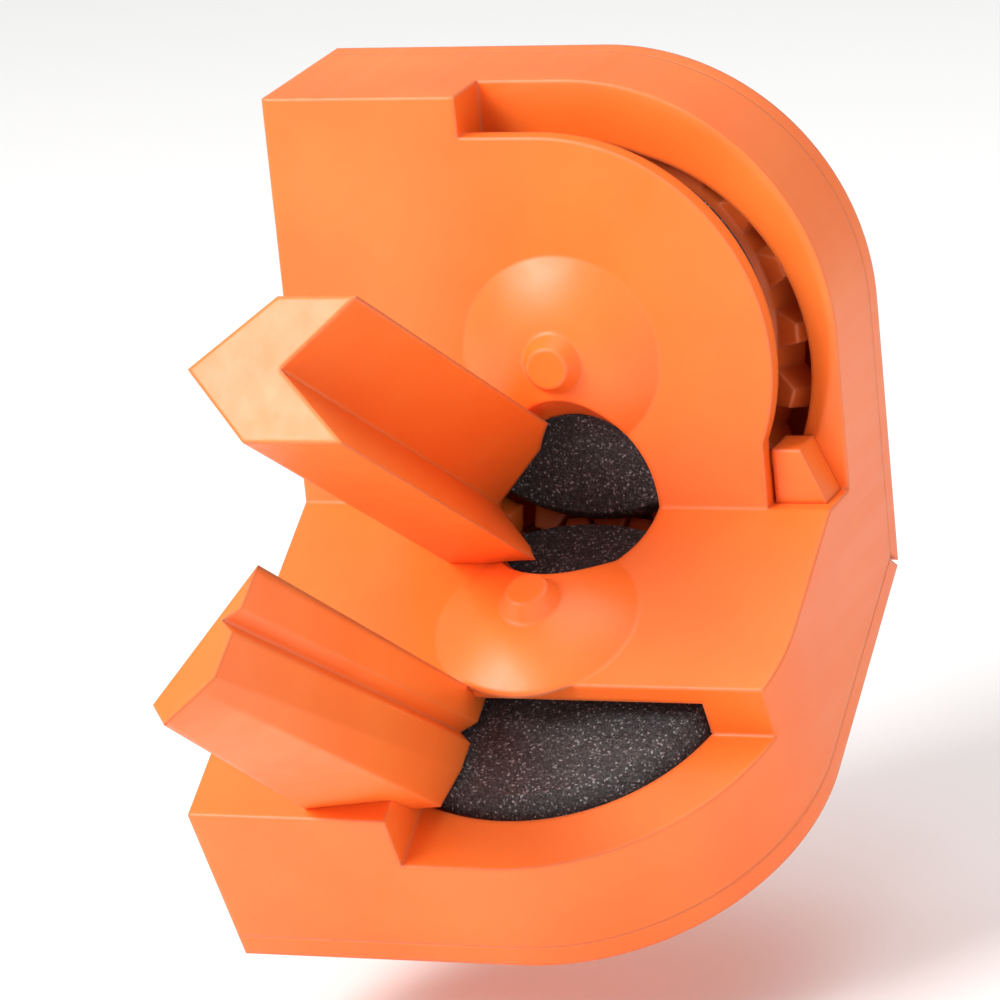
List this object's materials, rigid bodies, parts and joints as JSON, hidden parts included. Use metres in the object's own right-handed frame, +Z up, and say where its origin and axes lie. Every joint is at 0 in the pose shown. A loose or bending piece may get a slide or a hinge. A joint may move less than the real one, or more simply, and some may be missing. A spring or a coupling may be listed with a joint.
{
  "type": "drill bit sharpener",
  "caption": "Drill-powered bit sharpener: folded orange housing, bevel-geared abrasive wheels, a grooved guide for large bits, a small one for thin bits, and a round drive shank.",
  "frame": {"origin": "on the drive axis where the shank leaves the upper back cover, in the plane that faces the drill's chuck", "axes": "+Y back along the drive shank towards the drill, +Z up, +X to the right seen from the front"},
  "size_m": [0.064, 0.1473, 0.0925],
  "materials": {
    "orange_plastic": "satin moulded",
    "guide_plastic": "satin with a fine grained end",
    "gear_plastic": "satin",
    "abrasive": "coarse grit",
    "shaft_steel": "turned",
    "screw_steel": "zinc plated",
    "bronze": "sintered"
  },
  "bodies": {
    "housing": {"front_housing": "orange_plastic", "large_bit_guide": "guide_plastic", "small_bit_guide": "guide_plastic", "slot_latch": "orange_plastic", "upper_back_cover": "orange_plastic", "lower_back_cover": "orange_plastic", "upper_cover_screws": "screw_steel", "lower_cover_screws": "screw_steel", "upper_guide_screw": "screw_steel", "lower_guide_screw": "screw_steel", "upper_front_bush": "bronze", "upper_rear_bush": "bronze", "lower_front_bush": "bronze", "lower_rear_bush": "bronze"},
    "upper_wheel": {"drive_shaft": "shaft_steel", "upper_bevel_gear": "gear_plastic", "upper_grinding_wheel": "abrasive", "upper_wheel_washer": "shaft_steel", "upper_wheel_nut": "shaft_steel", "upper_retaining_ring": "shaft_steel"},
    "lower_wheel": {"lower_axle": "shaft_steel", "lower_bevel_gear": "gear_plastic", "lower_grinding_wheel": "abrasive", "lower_wheel_washer": "shaft_steel", "lower_wheel_nut": "shaft_steel", "lower_retaining_ring": "shaft_steel"}
  },
  "joints": [
    {"name": "upper_wheel_spin", "type": "hinge", "parent": "housing", "child": "upper_wheel", "pos_m": [0, -0.024, 0], "axis": [0, 1, 0], "continuous": true},
    {"name": "lower_wheel_spin", "type": "hinge", "parent": "housing", "child": "lower_wheel", "pos_m": [0, -0.03989, -0.02645], "axis": [0, 0.4695, -0.8829], "continuous": true}
  ],
  "couplings": [
    {"joint": "lower_wheel_spin", "follows": "upper_wheel_spin", "ratio": -1}
  ]
}
